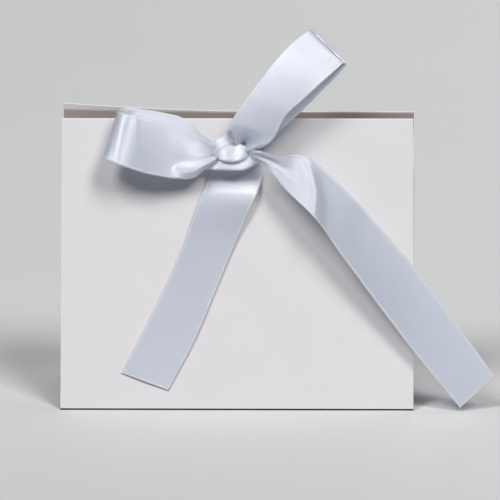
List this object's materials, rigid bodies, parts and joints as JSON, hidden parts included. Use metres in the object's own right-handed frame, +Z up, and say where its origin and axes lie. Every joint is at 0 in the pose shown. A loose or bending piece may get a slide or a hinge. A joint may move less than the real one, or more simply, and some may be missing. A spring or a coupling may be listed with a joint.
{
  "type": "card favour box",
  "caption": "Wedge-shaped white card box with leaning walls and folded side flaps, tied shut near its mouth by a satin ribbon bow with long tails.",
  "frame": {"origin": "on the floor, under the middle of the base", "axes": "+X to the right along the mouth, +Y from the bow's wall to the back wall, +Z up"},
  "size_m": [0.1295, 0.0569, 0.111],
  "materials": {
    "card": "matt white board",
    "ribbon": "satin weave, pale blue white"
  },
  "bodies": {
    "base": {"base_panel": "card"},
    "front_wall": {"front_panel": "card", "front_flap_left": "card", "front_flap_right": "card", "ribbon_knot": "ribbon", "bow_loop_left": "ribbon", "bow_loop_right": "ribbon", "ribbon_tail_left": "ribbon", "ribbon_tail_right": "ribbon", "ribbon_leg_left": "ribbon", "ribbon_leg_right": "ribbon", "ribbon_back_run": "ribbon"},
    "back_wall": {"back_panel": "card", "back_flap_left": "card", "back_flap_right": "card"}
  },
  "joints": [
    {"name": "front_crease", "type": "hinge", "parent": "base", "child": "front_wall", "pos_m": [0, -0.028, 0.00025], "axis": [-1, 0, 0], "range_deg": [0, 3], "stiffness_Nm_per_rad": 0.01, "springref_deg": -17.19},
    {"name": "back_crease", "type": "hinge", "parent": "base", "child": "back_wall", "pos_m": [0, 0.028, 0.00025], "axis": [1, 0, 0], "range_deg": [0, 3], "stiffness_Nm_per_rad": 0.01, "springref_deg": -17.19}
  ]
}
